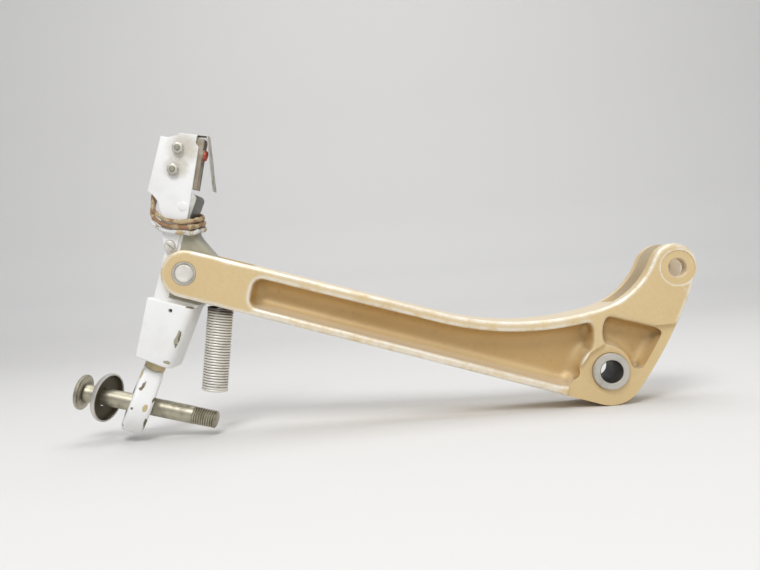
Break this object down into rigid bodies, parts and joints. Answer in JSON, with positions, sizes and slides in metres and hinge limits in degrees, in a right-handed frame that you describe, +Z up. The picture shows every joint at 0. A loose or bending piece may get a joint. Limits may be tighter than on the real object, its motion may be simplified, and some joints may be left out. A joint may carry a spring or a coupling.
{
  "type": "aircraft bellcrank",
  "caption": "Bent lever arm on a pivot bush, with a clevis at one end and a hinged link at the other that carries a snap switch, a tension spring and an eye with a bolt.",
  "frame": {"origin": "middle of the pivot bush, on its axis at half the arm's thickness", "axes": "+X from the pivot towards the clevis end, +Y along the pivot away from the viewer of the picture, +Z up"},
  "size_m": [0.2779, 0.0266, 0.1329],
  "materials": {
    "arm_gold": "tan-gold satin coat, worn bright on the edges",
    "steel": "bare steel",
    "white_paint": "white paint, chipped",
    "bronze": "plain bearing bronze",
    "spring_steel": "bright spring wire",
    "phenolic": "moulded switch body",
    "plunger_red": "orange-red plunger",
    "tinned": "tinned terminals",
    "lead_cover": "varnished braid"
  },
  "bodies": {
    "arm": {"lever_arm": "arm_gold", "pivot_bush": "steel", "pin_bush_front": "steel", "pin_bush_rear": "steel", "link_pin": "steel"},
    "link": {"link_body": "white_paint", "link_bush": "bronze", "rod_eye": "white_paint", "tension_spring": "spring_steel", "switch_bracket": "white_paint", "bracket_screw": "steel", "bracket_rivet": "white_paint", "switch_case": "phenolic", "switch_cover": "phenolic", "switch_terminals": "tinned", "switch_screw_upper": "steel", "switch_screw_lower": "steel", "switch_nut_upper": "steel", "switch_nut_lower": "steel", "switch_washer_upper": "steel", "switch_washer_lower": "steel", "lead_upper": "lead_cover", "lead_middle": "lead_cover", "lead_lower": "lead_cover"},
    "bolt": {"eye_ball": "steel", "eye_bolt": "steel", "cup_washer": "steel"},
    "leaf": {"switch_leaf": "steel"},
    "plunger": {"switch_plunger": "plunger_red"}
  },
  "joints": [
    {"name": "link_swing", "type": "hinge", "parent": "arm", "child": "link", "pos_m": [-0.18073, 0, 0.05698], "axis": [0, 1, 0], "range_deg": [0, 40]},
    {"name": "bolt_swivel", "type": "hinge", "parent": "link", "child": "bolt", "pos_m": [-0.20805, 0, 0.0006], "axis": [0, 1, 0], "range_deg": [-5, 8]},
    {"name": "leaf_press", "type": "hinge", "parent": "link", "child": "leaf", "pos_m": [-0.16771, 0, 0.11387], "axis": [0, 1, 0], "range_deg": [0, 6], "stiffness_Nm_per_rad": 0.02},
    {"name": "plunger_slide", "type": "slide", "parent": "link", "child": "plunger", "axis": [-0.9494, 0, 0.314], "range_m": [0, 0.001]}
  ],
  "couplings": [
    {"joint": "plunger_slide", "follows": "leaf_press", "m_per_rad": 0.006}
  ]
}
